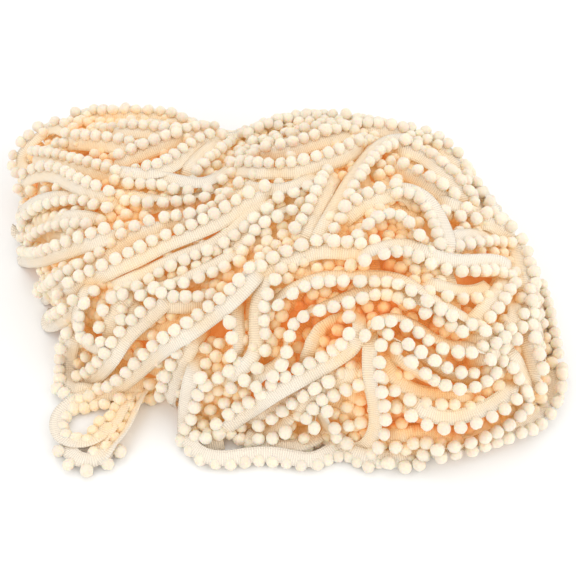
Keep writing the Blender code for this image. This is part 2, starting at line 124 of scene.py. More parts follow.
# Runs that show from in front: side of the pompoms, level, roll in degrees, places (across, up) in mm
SIGHT_RUNS = (
    # left, upper
    ("L", 2, 0, ((-168, 140), (-152, 143), (-136, 144), (-120, 143), (-104, 140), (-90, 133))),
    ("R", 2, 0, ((-160, 134), (-145, 136), (-128, 136), (-112, 134), (-100, 130))),
    ("R", 2, 0, ((-184, 129), (-168, 131), (-152, 131), (-138, 129))),
    ("L", 3, 0, ((-137, 125), (-122, 124), (-106, 122), (-90, 118))),
    ("L", 2, 0, ((-178, 116), (-165, 115), (-150, 114), (-135, 112), (-120, 108))),
    ("R", 4, -10, ((-185, 128), (-198, 127), (-208, 121), (-214, 111), (-214, 98))),
    ("L", 3, 0, ((-205, 103), (-190, 101), (-175, 97), (-160, 93), (-147, 89), (-135, 85))),
    ("R", 4, 0, ((-138, 93), (-122, 91), (-106, 89), (-90, 86), (-75, 83), (-62, 85), (-51, 92), (-41, 100))),
    ("L", 3, 0, ((-134, 100), (-120, 105), (-106, 111), (-92, 116), (-78, 121), (-62, 123))),
    ("L", 4, -10, ((-116, 91), (-102, 92), (-89, 99), (-77, 107), (-65, 115), (-57, 117))),
    ("R", 3, 0, ((-213, 60), (-204, 68), (-191, 73), (-176, 74), (-163, 75), (-150, 72), (-140, 69))),
    ("L", 4, 0, ((-212, 84), (-201, 90), (-188, 90), (-175, 83), (-162, 77), (-149, 72))),
    ("R", 2, 15, ((-140, 75), (-125, 74), (-110, 71), (-96, 71), (-82, 72), (-68, 74), (-58, 78))),
    ("R", 2, 10, ((-203, 48), (-193, 54), (-180, 57), (-167, 58), (-155, 56))),
    ("L", 2, -40, ((-216, 38), (-208, 46), (-203, 52), (-196, 57))),
    ("L", 4, 0, ((-214, 22), (-200, 21), (-185, 26), (-170, 31), (-155, 36), (-142, 41))),
    ("L", 3, 0, ((-196, -10), (-180, 2), (-165, 11), (-150, 19), (-136, 31), (-120, 42), (-102, 48),
     (-86, 50), (-71, 52), (-57, 57), (-46, 66), (-38, 76), (-28, 83))),
    ("R", 3, 0, ((-138, 1), (-122, 9), (-106, 17), (-90, 25), (-75, 31), (-60, 36), (-48, 45), (-38, 54),
     (-28, 62), (-17, 69))),
    ("L", 4, 0, ((-175, -4), (-160, 4), (-145, 11), (-130, 18), (-115, 25), (-100, 33), (-85, 39), (-70, 45),
     (-55, 52), (-42, 60), (-30, 68), (-18, 74))),
    # middle, upper
    ("L", 2, -55, ((-44, 122), (-34, 128), (-22, 133), (-8, 136), (8, 136))),
    ("R", 3, 0, ((-98, 124), (-82, 129), (-66, 130), (-50, 125))),
    ("R", 4, 0, ((-80, 95), (-72, 104), (-62, 112), (-50, 121), (-35, 126), (-20, 131), (-5, 134))),
    ("L", 2, 0, ((5, 129), (18, 130), (32, 132), (46, 133), (60, 132), (73, 129))),
    ("L", 2, 10, ((-16, 106), (0, 108), (15, 112), (30, 117), (45, 121), (58, 123))),
    ("L", 4, 0, ((-42, 94), (-30, 93), (-15, 92), (0, 92), (15, 95), (30, 99), (45, 104), (57, 111))),
    ("R", 3, 0, ((-36, 80), (-22, 79), (-8, 78), (4, 81), (14, 86), (24, 91))),
    ("R", 2, 15, ((-44, 28), (-37, 38), (-30, 48), (-22, 55), (-10, 60), (2, 65))),
    ("L", 2, 0, ((13, 40), (20, 53), (26, 66), (32, 79), (38, 90))),
    ("R", 4, 0, ((24, 40), (30, 52), (37, 64), (44, 78), (52, 91), (61, 104), (71, 114), (84, 120),
     (97, 119))),
    ("L", 4, 0, ((-28, 2), (-18, 10), (-6, 18), (8, 24), (24, 29), (40, 29), (56, 27), (70, 29))),
    ("R", 0, 0, ((-42, 14), (-28, 17), (-14, 20))),
    # right, upper
    ("L", 3, 0, ((64, 125), (80, 124), (95, 120), (108, 119), (120, 116), (130, 109), (137, 99))),
    ("L", 2, 10, ((92, 92), (101, 87), (110, 82), (119, 76), (128, 70), (134, 62))),
    ("L", 3, 0, ((92, 110), (104, 106), (114, 99), (124, 91), (133, 82), (139, 73))),
    ("R", 3, 0, ((138, 98), (150, 90), (160, 84), (166, 74), (167, 62), (172, 52))),
    ("R", 3, 0, ((130, 68), (140, 63), (150, 60), (159, 56))),
    ("R", 3, 0, ((133, 41), (145, 43), (157, 43), (168, 41), (177, 37))),
    ("R", 3, 55, ((53, 42), (60, 51), (70, 57), (81, 60), (91, 56), (98, 47), (106, 38))),
    ("L", 4, 0, ((50, 58), (64, 67), (78, 73), (91, 76), (98, 71))),
    ("R", 4, 0, ((90, 81), (101, 80), (111, 73), (118, 64), (123, 54), (127, 44), (129, 37))),
    ("L", 4, 0, ((160, 52), (170, 46), (179, 38), (184, 25), (186, 12), (189, 0))),
    ("R", 5, 0, ((62, 29), (76, 33), (89, 36), (101, 34), (112, 28), (125, 23), (140, 21), (155, 22),
     (168, 22), (178, 18))),
    # left, lower
    ("R", 1, 0, ((-126, -5), (-124, -14), (-122, -23), (-124, -31))),
    ("L", 4, 10, ((-163, -2), (-168, -12), (-171, -24), (-169, -37), (-162, -46), (-151, -50))),
    ("R", 2, 0, ((-126, -7), (-134, -13), (-140, -21), (-143, -32), (-143, -43))),
    ("L", 3, 0, ((-193, -31), (-184, -29), (-176, -23), (-167, -16))),
    ("R", 3, 0, ((-172, -42), (-174, -52), (-175, -63), (-174, -73), (-173, -83))),
    ("R", 3, 0, ((-173, -86), (-165, -85), (-157, -86), (-149, -90))),
    ("R", 3, 20, ((-118, -2), (-105, 2), (-92, 5), (-79, 10), (-67, 16), (-55, 21), (-45, 27))),
    ("L", 3, 0, ((-103, -13), (-92, -15), (-80, -15), (-68, -15), (-57, -12))),
    ("R", 4, 0, ((-76, -46), (-82, -57), (-88, -69), (-93, -81), (-96, -92))),
    ("R", 4, 0, ((-97, -11), (-107, -21), (-118, -30), (-128, -39), (-135, -49), (-141, -59), (-149, -68),
     (-159, -76), (-168, -81))),
    ("L", 5, 0, ((-147, -88), (-133, -79), (-121, -69), (-109, -58), (-98, -49), (-86, -41), (-74, -34),
     (-62, -25), (-50, -16), (-40, -7), (-31, 2), (-25, 10))),
    # middle, lower
    ("R", 0, 0, ((43, -25), (33, -28), (25, -33), (20, -42), (17, -52), (14, -61))),
    ("R", 2, 40, ((0, -117), (11, -117), (19, -112), (22, -102))),
    ("R", 3, 40, ((-46, -119), (-32, -118), (-18, -116), (-6, -110), (2, -103))),
    ("L", 3, 25, ((-66, -80), (-53, -75), (-41, -69), (-31, -61))),
    ("R", 3, 30, ((-41, -18), (-40, -31), (-38, -44), (-41, -56))),
    ("L", 4, 0, ((-17, 8), (-23, -3), (-26, -15), (-26, -30), (-25, -45), (-28, -56), (-36, -64),
     (-47, -71))),
    ("R", 4, (20, 50, 50, 30, 20, 20, 20, 30, 30), ((-28, -74), (-17, -67), (-7, -60), (-2, -50), (0, -38),
     (4, -27), (13, -20), (27, -15), (42, -9), (57, -3), (70, 1), (83, 1), (96, -3), (108, -10), (121, -18),
     (134, -25), (147, -29), (158, -29))),
    ("L", 3, 0, ((56, -67), (45, -72), (34, -77), (23, -82), (13, -91), (5, -101))),
    ("L", 3, 40, ((26, -99), (31, -110), (37, -120), (43, -129))),
    ("R", 3, 0, ((-30, -104), (-17, -97), (-5, -88), (7, -80), (19, -73), (31, -67))),
    ("L", 5, 5, ((-78, -72), (-81, -85), (-83, -98), (-85, -111), (-82, -123), (-73, -131))),
    ("L", 5, 0, ((-64, -125), (-57, -118), (-47, -110), (-37, -103), (-25, -95), (-12, -86), (0, -79),
     (13, -72), (26, -65), (38, -58), (49, -51), (57, -42), (57, -32))),
    # right, lower
    ("R", 2, 0, ((76, -57), (82, -68), (91, -77), (103, -83), (117, -85), (131, -84), (144, -86))),
    ("R", 2, 0, ((85, -137), (97, -134), (108, -133))),
    ("R", 3, 0, ((84, -120), (96, -116), (108, -115), (120, -117), (133, -118))),
    ("R", 3, 0, ((117, 3), (130, -1), (142, -3), (153, -2), (161, 2))),
    ("R", 4, (50, 45, 25, 10, 20, 35, 45), ((-10, -10), (3, 0), (18, 7), (33, 10), (48, 10), (62, 10),
     (76, 10), (88, 8), (99, 3), (110, -5), (121, -12), (133, -19), (143, -25))),
    ("R", 3, 0, ((148, -26), (156, -17), (163, -9), (169, 0), (174, 9))),
    ("L", 3, (20, 30, 40, 40, 30), ((86, -55), (96, -63), (107, -71), (118, -77), (130, -81), (142, -83),
     (154, -80), (165, -73), (173, -64))),
    ("L", 3, 45, ((84, -41), (94, -46), (104, -53), (113, -60), (124, -67), (135, -72), (147, -73))),
    ("R", 4, (60, 60, 55, 45, 30), ((61, -36), (67, -27), (78, -23), (90, -24), (101, -29), (111, -36),
     (120, -43), (131, -47), (143, -46), (154, -49))),
    ("L", 3, 40, ((188, 2), (188, -12), (187, -25), (189, -38), (192, -50), (195, -62), (197, -75))),
    ("L", 3, 40, ((199, 2), (204, -13), (207, -27), (210, -42), (211, -57), (210, -72), (209, -84))),
    ("R", 3, 0, ((150, -43), (162, -43), (173, -38), (180, -28), (182, -15))),
    ("L", 3, 0, ((158, -56), (168, -53), (176, -46), (183, -37))),
    ("R", 3, 36, ((107, -127), (122, -128), (137, -127), (152, -122), (167, -116), (181, -110), (196, -104),
     (206, -95), (211, -85), (212, -73))),
    ("R", 4, 0, ((105, -96), (115, -102), (128, -104), (142, -102), (156, -97), (168, -90), (178, -82))),
    ("L", 4, (30, 45, 45, 30, 20), ((117, -131), (134, -127), (150, -121), (165, -114), (179, -106),
     (190, -97), (195, -87), (192, -76), (187, -66), (183, -57))),
    ("L", 5, 0, ((66, -46), (65, -58), (66, -74), (69, -90), (71, -105), (69, -118), (61, -128), (51, -134))),
)

# Runs on the floor in front, seen the same way: side, lean of the tape off the floor in degrees,
# how far the pompoms are tucked under it, places
FLOOR_RUNS = (
    ("L", 12, 2.5, ((-148, -88), (-159, -88), (-171, -92), (-181, -100), (-185, -110), (-182, -120),
     (-171, -125), (-158, -124), (-148, -118), (-142, -109))),
    ("R", 20, 1.0, ((-120, -74), (-124, -82), (-128, -91), (-134, -101), (-140, -112), (-148, -121),
     (-156, -128))),
    ("R", 45, 0.5, ((-108, -74), (-112, -82), (-118, -92), (-123, -103), (-128, -114), (-136, -125),
     (-145, -134), (-153, -139))),
    ("L", 18, 1.0, ((-138, -123), (-146, -133), (-156, -139), (-167, -138), (-175, -131), (-177, -121))),
    ("R", 30, 3.6, ((-84, -116), (-79, -125), (-71, -134), (-59, -138), (-46, -138), (-33, -136),
     (-19, -135), (-5, -136), (9, -139), (22, -139), (33, -133), (43, -126))),
    ("R", 8, 4.5, ((-34, -119), (-22, -125), (-8, -129), (6, -129), (17, -125), (26, -119))),
    ("R", 30, 3.6, ((40, -125), (47, -131), (57, -136), (68, -138), (80, -138), (92, -137), (103, -133),
     (112, -128))),
)


# The heap's outline over its back and right side, seen the same way: across, up.
# These places were rounded from a measurement of the photograph's outline, not judged by eye.
OUTLINE = np.array(
    (
        (-226, 70), (-221, 100), (-213, 121), (-200, 130), (-182, 136), (-165, 143), (-145, 149), (-120, 149),
        (-100, 144), (-82, 136), (-62, 133), (-46, 126), (-32, 131), (-10, 139), (28, 142), (62, 140),
        (84, 131), (112, 125), (126, 118), (140, 103), (156, 88), (168, 67), (182, 44), (196, 32),
        (205, -4), (214, -46), (217, -70), (213, -90), (200, -108),
    ),
    float,
)
OUTLINE_SLACK = 1.0
EDGE_ROOM = 0.5
PULL_MOST = 16.0
PULL_SPREAD = 6


# Small tools
def unit(rows):
    return rows / np.maximum(np.linalg.norm(rows, axis=-1, keepdims=True), 1e-9)


def squared(rows, others):
    """Unit rows turned square to the unit rows in others."""
    return unit(rows - (rows * others).sum(1)[:, None] * others)


def marks_along(path):
    return np.concatenate(([0], np.cumsum(np.linalg.norm(np.diff(path, axis=0), axis=1))))


def spline(places, steps=12):
    ends = np.array(places, float)
    whole = np.vstack((2 * ends[0] - ends[1], ends, 2 * ends[-1] - ends[-2]))
    out = []
    for i in range(1, len(whole) - 2):
        a, b, c, d = whole[i - 1 : i + 3]
        for t in np.arange(steps) / steps:
            part = 2 * b + (c - a) * t + (2 * a - 5 * b + 4 * c - d) * t**2
            out.append((part + (3 * b - a - 3 * c + d) * t**3) / 2)
    out.append(ends[-1])
    return np.array(out)


def evened(path, spacing):
    along = marks_along(path)
    count = max(3, int(round(along[-1] / spacing)))
    marks = np.linspace(0, along[-1], count + 1)
    return np.stack([np.interp(marks, along, path[:, k]) for k in range(path.shape[1])], axis=1)


def softened(rows, passes):
    rows = rows.copy()
    for _ in range(passes):
        rows[1:-1] = rows[1:-1] * 0.5 + (rows[:-2] + rows[2:]) * 0.25
    return rows


# The heap's form
def form_height(x, y, inset=0.0):
    at = FORM[:, 0] * (1 - inset / FORM_REACH)
    front = np.interp(x, at, FORM[:, 1] + inset)
    back = np.interp(x, at, FORM[:, 2] - inset)
    top = np.interp(x, at, FORM[:, 3] - inset)
    middle = (front + back) / 2
    half = np.maximum((back - front) / 2, 1)
    across = np.abs(y - middle) / half
    height = top * np.clip(1 - across**FORM_POWER, 0, 1) ** FORM_ROOT
    return np.where((x < at[0]) | (x > at[-1]) | (across > 1), 0, height)


def form_normal(x, y, inset=0.0, most=2.4):
    step = 3.0
    rise_x = (form_height(x + step, y, inset) - form_height(x - step, y, inset)) / (2 * step)
    rise_y = (form_height(x, y + step, inset) - form_height(x, y - step, inset)) / (2 * step)
    rise = np.hypot(rise_x, rise_y)
    cut = np.where(rise > most, most / np.maximum(rise, 1e-6), 1)
    return unit(np.stack((-rise_x * cut, -rise_y * cut, np.ones(np.shape(x))), axis=-1))


def crest_height(x):
    return np.interp(x, FORM[:, 0], FORM[:, 3])


# The sight plane's cells are 1 mm wide
GRID_LEFT, GRID_DOWN = -270, -190
GRID_SHAPE = (400, 540)
NOTHING = 1e9
# Shares of the way from the eye to the sight plane
SEARCH = np.linspace(0.72, 1.35, 1261)
FAR_SIDE = 60.0
GRAZED, CREST_SHARE = 0.4, 0.6


class Sight:
    """A way of looking at the heap, with the nearest depth laid so far over its plane."""

    def __init__(self, turn, rise, origin):
        turn, rise = math.radians(turn), math.radians(rise)
        away = np.array((-math.sin(turn), math.cos(turn), 0.0))
        self.flat_away = away
        self.right = np.array((math.cos(turn), math.sin(turn), 0.0))
        self.up = away * math.sin(rise) + np.array((0, 0, math.cos(rise)))
        self.axis = away * math.cos(rise) - np.array((0, 0, math.sin(rise)))
        self.origin = np.array(origin, float)
        self.eye = self.origin - self.axis * SIGHT_REACH
        self.grid = np.full(GRID_SHAPE, NOTHING)

    def place(self, across, up):
        return self.origin + self.right * across + self.up * up

    def to_eye(self, points):
        return unit(self.eye - points)

    def on_form(self, across, up, inset):
        aim = self.place(across, up) - self.eye
        points = self.eye + SEARCH[:, None] * aim
        over = points[:, 2] - form_height(points[:, 0], points[:, 1], inset)
        under = np.nonzero(over < 0)[0]
        first = under[0] if len(under) else len(SEARCH) - 1
        beyond = (points[first] - self.origin) @ self.flat_away
        # A line that grazes the crest and lands low behind it is laid on the crest
        if points[first, 2] < GRAZED * crest_height(points[first, 0]) and beyond > FAR_SIDE:
            low = points[:first, 2] < CREST_SHARE * crest_height(points[:first, 0])
            first = int(np.argmin(over[:first] + low * 1e3))
            points[first, 2] -= over[first] * 0.7
        return points[first]

    def on_floor(self, across, up, height):
        aim = self.place(across, up) - self.eye
        return self.eye + aim * (height - self.eye[2]) / aim[2]

    def seen(self, points):
        """Places in the sight plane and depths along the sight axis."""
        away = points - self.eye
        depth = away @ self.axis
        return away @ self.right * SIGHT_REACH / depth, away @ self.up * SIGHT_REACH / depth, depth

    def cells(self, across, up):
        column = np.clip(np.round(across - GRID_LEFT), 0, self.grid.shape[1] - 1).astype(int)
        row = np.clip(np.round(up - GRID_DOWN), 0, self.grid.shape[0] - 1).astype(int)
        return row, column


PHOTO_SIGHT = Sight(0, SIGHT_RISE, (0, 0, 0))
BACK_SIGHT = Sight(180, 34, (-17, 20, 0))
EYE = PHOTO_SIGHT.eye


# One run of trim
class Run:
    def __init__(self, path, faces, side, roll, tail=0, tuck=0.0):
        self.path = path
        self.tuck = tuck
        self.along = unit(np.gradient(path, axis=0))
        face = squared(softened(squared(faces, self.along), 3), self.along)
        wide = np.cross(face, self.along) * (1 if side == "L" else -1)
        turn = np.radians(roll)
        if np.ndim(turn) == 0:
            turn = np.full(len(path), float(turn))
        self.wide = wide * np.cos(turn)[:, None] + face * np.sin(turn)[:, None]
        self.face = face * np.cos(turn)[:, None] - wide * np.sin(turn)[:, None]
        self.side = side
        self.tail = tail
        self.bare = False
        self.length = np.linalg.norm(np.diff(path, axis=0), axis=1).sum()

    def spots(self, wide, face=0.0):
        return self.path + self.wide * wide + self.face * face

    def pompom_spots(self):
        return self.spots(POMPOM_OFF - self.tuck, POMPOM_FORWARD - TUCK_DOWN * self.tuck)

    def pompom_stations(self):
        first = STEPS_PER_PITCH // 2
        return np.arange(first, len(self.path) - 1, STEPS_PER_PITCH)


# The cells that a pompom covers, and how far it rises over each, as a share of its radius
DISC_CELLS = range(-4, 5)
DISC_MOST, BALL_SQUARE = 17, 26.0
DISC = [(r, c) for r in DISC_CELLS for c in DISC_CELLS if r * r + c * c <= DISC_MOST]
DISC_RISE = np.array([math.sqrt(max(0.0, 1 - (r * r + c * c) / BALL_SQUARE)) for r, c in DISC])
LAY_GAP = 0.9
LIFT_SPREAD = 3
MARK_STEP = 0.7


def under_pompoms(run, sight, stations):
    """The cells that the pompoms at these stations cover, one cell of each pompom at a time."""
    across, up, depth = sight.seen(run.pompom_spots()[stations])
    row, column = sight.cells(across, up)
    for (r, c), rise in zip(DISC, DISC_RISE):
        rows = np.clip(row + r, 0, sight.grid.shape[0] - 1)
        columns = np.clip(column + c, 0, sight.grid.shape[1] - 1)
        yield rows, columns, depth, POMPOM_RADIUS * rise


def lay_in_sight(run, sight, squash=0.45):
    """Brings the run forward off what it crosses in front of."""
    count = len(run.path)
    need = np.zeros(count)
    for wide in np.linspace(-TAPE_WIDTH / 2, TAPE_WIDTH / 2, 7):
        across, up, depth = sight.seen(run.spots(wide))
        row, column = sight.cells(across, up)
        need = np.maximum(need, depth - (sight.grid[row, column] - LAY_GAP))
    stations = run.pompom_stations()
    if not run.bare and len(stations):
        for rows, columns, depth, rise in under_pompoms(run, sight, stations):
            np.maximum.at(need, stations, depth + rise * squash - sight.grid[rows, columns])
    held = np.zeros(count, bool)
    held[run.tail : count - run.tail] = True
    rise = np.where(held, np.clip(need, 0, LIFT_MOST), 0)
    shifts = range(-LIFT_SPREAD, LIFT_SPREAD + 1)
    spread = np.maximum.reduce([np.roll(rise, k) * 0.9 ** abs(k) for k in shifts])
    rise = softened(np.maximum(rise, np.where(held, spread, 0)), 10)
    run.path = run.path + sight.to_eye(run.path) * rise[:, None]
    run.along = unit(np.gradient(run.path, axis=0))
    run.wide = squared(run.wide, run.along)
    run.face = squared(squared(run.face, run.along), run.wide)


def mark_in_sight(run, sight):
    first = run.tail
    last = len(run.path) - run.tail
    for wide in np.linspace(-TAPE_WIDTH / 2, TAPE_WIDTH / 2, 23):
        dense = evened(run.spots(wide)[first:last], MARK_STEP)
        across, up, depth = sight.seen(dense)
        row, column = sight.cells(across, up)
        np.minimum.at(sight.grid, (row, column), depth - TAPE_THICK / 2)
    stations = [s for s in run.pompom_stations() if first <= s < last]
    if run.bare or not stations:
        return
    for rows, columns, depth, rise in under_pompoms(run, sight, stations):
        np.minimum.at(sight.grid, (rows, columns), depth - rise)


TAIL_STEPS = 8
TAIL_DROP = 13.0
TAIL_AIM = np.array((-15.0, 10.0, 20.0))
TAIL_LOW = 25.0
TAIL_PULL, TAIL_PULL_LOW = 0.5, 2.4
ONTO_MOST = 3
# The steepest slope that a run follows, as rise over run
STEEP = 6.0


def onto_form(point, inset, times=2):
    """The point moved along the form's normal until it lies on the form."""
    for _ in range(times):
        gap = point[2] - float(form_height(point[0], point[1], inset))
        normal = form_normal(point[0], point[1], inset, STEEP)
        point = point - normal * np.clip(gap * normal[2], -ONTO_MOST, ONTO_MOST)
    return point


def tail_points(end, way, inset):
    """The part that carries on round the form and dives under its neighbours."""
    point, rows = end, []
    for step in range(TAIL_STEPS):
        normal = form_normal(point[0], point[1], inset, STEEP)
        way = unit(way - (way @ normal) * normal)
        point = point + way * STATION
        deeper = inset + TAIL_DROP * ((step + 1) / TAIL_STEPS) ** 1.2
        pull = TAIL_PULL if point[2] > TAIL_LOW else TAIL_PULL_LOW
        point = onto_form(point, deeper, 3) + unit(TAIL_AIM - point) * pull
        rows.append(point)
    return rows


HIDDEN_MOST = 0.22
ROLL_START = 14
WOBBLE, WOBBLE_LENGTH = 15, 26.0
LEAST_STEPS = 10
FULL_TURN = 6.3


def hidden_stretch(path):
    """The longest stretch that the photograph's view doesn't reach."""
    hidden = [faces_eye(point) < HIDDEN_MOST and form_height(point[0], point[1], 3) > 4 for point in path]
    best, start = (0, 0), None
    for i, keep in enumerate(hidden + [False]):
        if keep and start is None:
            start = i
        if not keep and start is not None:
            best = max(best, (i - start, start))
            start = None
    return path[best[1] : best[1] + best[0]]


def sight_run(sight, side, level, roll, places):
    curve = evened(spline(places), CURVE_STEP)
    inset = LEVEL_INSET[level]
    path = np.array([sight.on_form(across, up, inset) for across, up in curve])
    path = evened(softened(path, 14), STATION)
    if sight is BACK_SIGHT:
        path = hidden_stretch(path)
        if len(path) < LEAST_STEPS:
            return None
    before = tail_points(path[0], unit(path[0] - path[2]), inset)
    after = tail_points(path[-1], unit(path[-1] - path[-3]), inset)
    path = softened(np.vstack((before[::-1], path, after)), 4)
    path = evened(path, STATION)
    normals = form_normal(path[:, 0], path[:, 1], inset)
    faces = unit(normals + 0.9 * sight.to_eye(path))
    phase = RNG.uniform(0, FULL_TURN)
    wobble = WOBBLE * np.sin(np.arange(len(path)) * STATION / WOBBLE_LENGTH + phase)
    rolls = np.atleast_1d(roll)
    marks = np.linspace(0, 1, len(path))
    rolls = np.interp(marks, np.linspace(0.1, 0.9, len(rolls)), rolls) if len(rolls) > 1 else rolls[0]
    return Run(path, faces, side, ROLL_START + rolls + wobble, TAIL_STEPS)


def floor_run(side, lean, tuck, places):
    curve = evened(spline(places), CURVE_STEP)
    path = np.array([PHOTO_SIGHT.on_floor(across, up, 5.0) for across, up in curve])
    path = evened(softened(path, 6), STATION)
    faces = np.tile((0.0, 0.0, 1.0), (len(path), 1))
    ease = np.clip(np.minimum(np.arange(len(path)), np.arange(len(path))[::-1]) / 6.0, 0.25, 1)
    run = Run(path, faces, side, -lean * ease, 0, tuck)
    low = np.minimum(run.pompom_spots()[:, 2] - POMPOM_RADIUS, run.spots(TAPE_WIDTH / 2)[:, 2])
    low = np.minimum(low, run.spots(-TAPE_WIDTH / 2)[:, 2])
    run.path[:, 2] += softened(FLOOR_GAP - low, 6)
    return run


# Runs that a seeded walk lays, inside the heap and under its back
WALK_AIM = np.array((-15.0, 20.0, 15.0))
WALK_LOW = 12
WALK_LEAST = 12
WALK_ROLL = 10
WALK_WOBBLE, WALK_WOBBLE_LENGTH = 10, 27.0
WANDER_LENGTH = 31.0
BEND, WANDER = 0.022, 0.03
PLACES_TRIED = 40
SIDE_HEIGHT = 34


def walk(start, heading, inset, length, side, bend, wander, keep):
    """A run that wanders over the form from start, turning about the form's normal."""
    halves = []
    for sign in (1, -1):
        point = start.copy()
        way = heading * sign
        points = []
        for step in range(int(length / 2 / STATION)):
            x, y = point[0], point[1]
            normal = form_normal(x, y, inset, STEEP)
            way = unit(way - (way @ normal) * normal)
            turn = sign * (bend + wander * math.sin(step * STATION / WANDER_LENGTH + start[0]))
            way = unit(way * math.cos(turn) + np.cross(normal, way) * math.sin(turn))
            # Near the floor a run turns along it
            if point[2] < WALK_LOW and way[2] < 0:
                way = unit(way * np.array((1, 1, 0.0)) + np.array((0, 0, 0.12)))
            point = point + way * STATION
            point = onto_form(point, inset)
            if not keep(point) or form_height(point[0], point[1], inset * 0.5) < 2:
                break
            points.append(point.copy())
        halves.append(points)
    path = np.array(halves[1][::-1] + [start] + halves[0])
    if len(path) < WALK_LEAST:
        return None
    path = evened(softened(path, 6), STATION)
    ends = np.minimum(np.arange(len(path)), np.arange(len(path))[::-1]) / TAIL_STEPS
    dive = TAIL_DROP * np.clip(1 - ends, 0, 1) ** 1.3
    path += unit(WALK_AIM - path) * dive[:, None]
    normals = form_normal(path[:, 0], path[:, 1], inset, 4.0)
    wobble = WALK_WOBBLE * np.sin(np.arange(len(path)) * STATION / WALK_WOBBLE_LENGTH + start[1])
    return Run(path, normals, side, WALK_ROLL + wobble)


def faces_eye(point):
    normal = form_normal(point[0], point[1], 0.0, 5.0)
    return float(normal @ unit(EYE - point))


def scattered(count, inset, length, keep, spread=0.0):
    """Runs that start each time where the heap is barest."""
    runs = []
    taken = np.zeros((0, 3))
    tries = 0
    while len(runs) < count and tries < count * 3:
        tries += 1
        best, best_gap = None, -1.0
        for _ in range(PLACES_TRIED):
            x = RNG.uniform(FORM[0, 0] + 12, FORM[-1, 0] - 8)
            front = np.interp(x, FORM[:, 0], FORM[:, 1]) + inset
            back = np.interp(x, FORM[:, 0], FORM[:, 2]) - inset
            edge = RNG.uniform(-1, 1)
            y = (front + back) / 2 + (back - front) / 2 * np.sign(edge) * abs(edge) ** 0.6 * 0.985
            point = np.array((x, y, float(form_height(x, y, inset))))
            if point[2] < 6 or not keep(point):
                continue
            gap = np.linalg.norm(taken - point, axis=1).min() if len(taken) else 99.0
            if gap > best_gap:
                best, best_gap = point, gap
        if best is None:
            continue
        # The way that the heap's turns mostly run there, in radians
        angle = 0.5 + 0.9 * math.sin(best[0] / 85.0 + 0.7) * math.cos(best[1] / 75.0) + RNG.normal(0, 0.45)
        if best[2] < SIDE_HEIGHT:
            normal = form_normal(best[0], best[1], inset, STEEP)
            heading = unit(np.cross((0, 0, 1.0), normal)) + np.array((0, 0, RNG.normal(0, 0.2)))
        else:
            heading = np.array((math.cos(angle), math.sin(angle), 0.0))
        deeper = inset + RNG.uniform(-spread, spread)
        run = walk(best, heading, deeper, length * RNG.uniform(0.7, 1.3), random.choice("LR"),
                   RNG.normal(0, BEND), WANDER, keep)
        if run is None:
            continue
        runs.append(run)
        taken = np.vstack((taken, run.path[::3], run.spots(POMPOM_OFF)[::3]))
    return runs


# All runs laid, level by level
BACK_ACROSS, BACK_UP, BACK_DOWN = 1.08, 0.96, -3


def past_outline(across, up):
    """How far each place lies outside OUTLINE, less than 0 inside, and the way back in."""
    starts, ends = OUTLINE[:-1], OUTLINE[1:]
    span = ends - starts
    spots = np.stack((across, up), axis=1)
    share = ((spots[:, None] - starts) * span).sum(2) / (span * span).sum(1)
    near = starts + span * np.clip(share, 0, 1)[..., None]
    gap = spots[:, None] - near
    reach = np.linalg.norm(gap, axis=2)
    best = reach.argmin(1)
    rows = np.arange(len(spots))
    inward = unit(np.stack((span[best, 1], -span[best, 0]), axis=1))
    outside = -(gap[rows, best] * inward).sum(1)
    return outside, inward


def hide_behind(run):
    """Draws a run in until the photograph's view doesn't see it past the heap's outline."""
    pull = np.zeros((len(run.path), 2))
    tape_lines = [(TAPE_WIDTH * share, EDGE_ROOM) for share in (0.5, 0, -0.5)]
    for wide, radius in [(POMPOM_OFF, POMPOM_RADIUS), *tape_lines]:
        across, up, _ = PHOTO_SIGHT.seen(run.spots(wide))
        outside, inward = past_outline(across, up)
        need = np.clip(outside + radius + OUTLINE_SLACK, 0, PULL_MOST)
        stronger = need > np.linalg.norm(pull, axis=1)
        pull = np.where(stronger[:, None], inward * need[:, None], pull)
    padded = np.pad(pull, ((PULL_SPREAD, PULL_SPREAD), (0, 0)), mode="edge")
    spread = np.stack([padded[k : k + len(pull)] for k in range(2 * PULL_SPREAD + 1)])
    strongest = np.linalg.norm(spread, axis=2).argmax(0)
    pull = softened(spread[strongest, np.arange(len(pull))], 8)
    run.path = run.path + PHOTO_SIGHT.right * pull[:, :1] + PHOTO_SIGHT.up * pull[:, 1:]


def laid_runs(sight, rows):
    runs = []
    for level in sorted(LEVEL_INSET):
        for side, at, roll, places in rows:
            if at != level:
                continue
            run = sight_run(sight, side, at, roll, places)
            if run is None:
                continue
            run.bare = level == 0
            lay_in_sight(run, sight)
            mark_in_sight(run, sight)
            runs.append(run)
    return runs


DEEP_COUNT, DEEP_INSET, DEEP_LENGTH, DEEP_SPREAD = 84, 16.5, 200, 2.0
UNDER_COUNT, UNDER_INSET, UNDER_LENGTH, UNDER_SPREAD = 16, 18.0, 190, 1.0


def all_runs():
    deep = scattered(DEEP_COUNT, DEEP_INSET, DEEP_LENGTH, lambda p: True, DEEP_SPREAD)
    under = scattered(UNDER_COUNT, UNDER_INSET, UNDER_LENGTH, lambda p: faces_eye(p) < 0.2, UNDER_SPREAD)
    for run in deep:
        mark_in_sight(run, PHOTO_SIGHT)
    front = laid_runs(PHOTO_SIGHT, SIGHT_RUNS)
    for run in deep + under + front:
        mark_in_sight(run, BACK_SIGHT)
    turned = [
        (side, level, roll, [(across * BACK_ACROSS, up * BACK_UP + BACK_DOWN) for across, up in places])
        for number, (side, level, roll, places) in enumerate(SIGHT_RUNS)
        if level > 2 or number % 2
    ]
    back = laid_runs(BACK_SIGHT, turned)
    for run in back:
        hide_behind(run)
    floor = [floor_run(*row) for row in FLOOR_RUNS]
    return front, floor, back, deep + under


